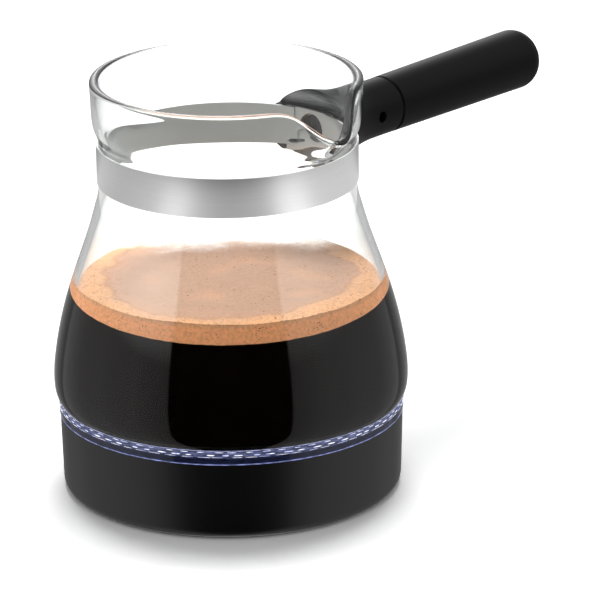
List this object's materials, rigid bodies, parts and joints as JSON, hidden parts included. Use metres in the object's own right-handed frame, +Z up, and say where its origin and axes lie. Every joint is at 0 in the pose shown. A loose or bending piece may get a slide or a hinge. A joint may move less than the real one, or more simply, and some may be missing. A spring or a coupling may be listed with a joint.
{
  "type": "electric turkish coffee maker",
  "caption": "Glass-jar electric Turkish coffee pot: pulled spout, steel neck band, straight side handle, lit ring and round black heating base with a lever switch.",
  "frame": {"origin": "centre of the coupling recess's mouth, on the jar's axis in the plane the base stands on", "axes": "+Z up the jar's axis, +X along the handle, -Y towards the spout"},
  "size_m": [0.1963, 0.108, 0.1285],
  "materials": {
    "jar_glass": "clear borosilicate, fire-polished",
    "brewed_coffee": "dark liquid, glossy",
    "brewed_foam": "fine foam, matt",
    "silicone": "matt silicone",
    "clear_ring": "clear moulded, lit from inside",
    "base_plastic": "satin black moulding",
    "cover_plastic": "fine texture",
    "zinc_screw": "bright zinc",
    "plate_steel": "stamped stainless",
    "spreader_aluminium": "milled",
    "stud_steel": "turned",
    "element_sheath": "drawn sheath",
    "bead_ceramic": "matt",
    "terminal_steel": "drawn",
    "contact_brass": "turned and stamped",
    "fuse_case": "nickel plated",
    "board_laminate": "solder mask",
    "led_lens": "phosphor lens",
    "resistor_body": "lacquer",
    "lead_rubber": "silicone sleeve",
    "control_plastic": "heat-resistant moulding",
    "bimetal_steel": "rolled",
    "lever_plastic": "smooth black moulding",
    "plunger_plastic": "moulded",
    "band_steel": "satin stainless strip",
    "bracket_steel": "stamped stainless",
    "handle_plastic": "satin black moulding",
    "black_screw": "black oxide"
  },
  "bodies": {
    "pot": {"glass_jar": "jar_glass", "coffee": "brewed_coffee", "coffee_foam": "brewed_foam", "jar_gasket": "silicone", "light_ring": "clear_ring", "base_housing": "base_plastic", "bottom_cover": "cover_plastic", "cover_screws": "zinc_screw", "heating_plate": "plate_steel", "heat_spreader": "spreader_aluminium", "plate_studs": "stud_steel", "housing_screws": "zinc_screw", "heating_element": "element_sheath", "terminal_beads": "bead_ceramic", "element_terminals": "terminal_steel", "heater_links": "contact_brass", "thermal_fuse": "fuse_case", "led_board": "board_laminate", "led_chips": "led_lens", "led_resistors": "resistor_body", "led_leads": "lead_rubber", "connector_shroud": "control_plastic", "centre_pin": "contact_brass", "inner_ring_contact": "contact_brass", "outer_ring_contact": "contact_brass", "control_body": "control_plastic", "contact_blades": "contact_brass", "bimetal_discs": "bimetal_steel", "control_screws": "zinc_screw", "lever_pin": "stud_steel", "neck_band": "band_steel", "band_bracket": "bracket_steel", "handle_collar": "handle_plastic", "handle_grip": "handle_plastic", "seam_washer": "silicone", "grip_insert": "contact_brass", "tie_screw": "zinc_screw", "lock_screw": "black_screw"},
    "switch": {"switch_lever": "lever_plastic"},
    "plunger": {"contact_plunger": "plunger_plastic"}
  },
  "joints": [
    {"name": "switch_hinge", "type": "hinge", "parent": "pot", "child": "switch", "pos_m": [0.038, 0, 0.012], "axis": [0, -1, 0], "range_deg": [0, 12]},
    {"name": "plunger_slide", "type": "slide", "parent": "pot", "child": "plunger", "axis": [0, 0, 1], "range_m": [-0.0031, 0]}
  ],
  "couplings": [
    {"joint": "plunger_slide", "follows": "switch_hinge", "m_per_rad": -0.0141}
  ]
}
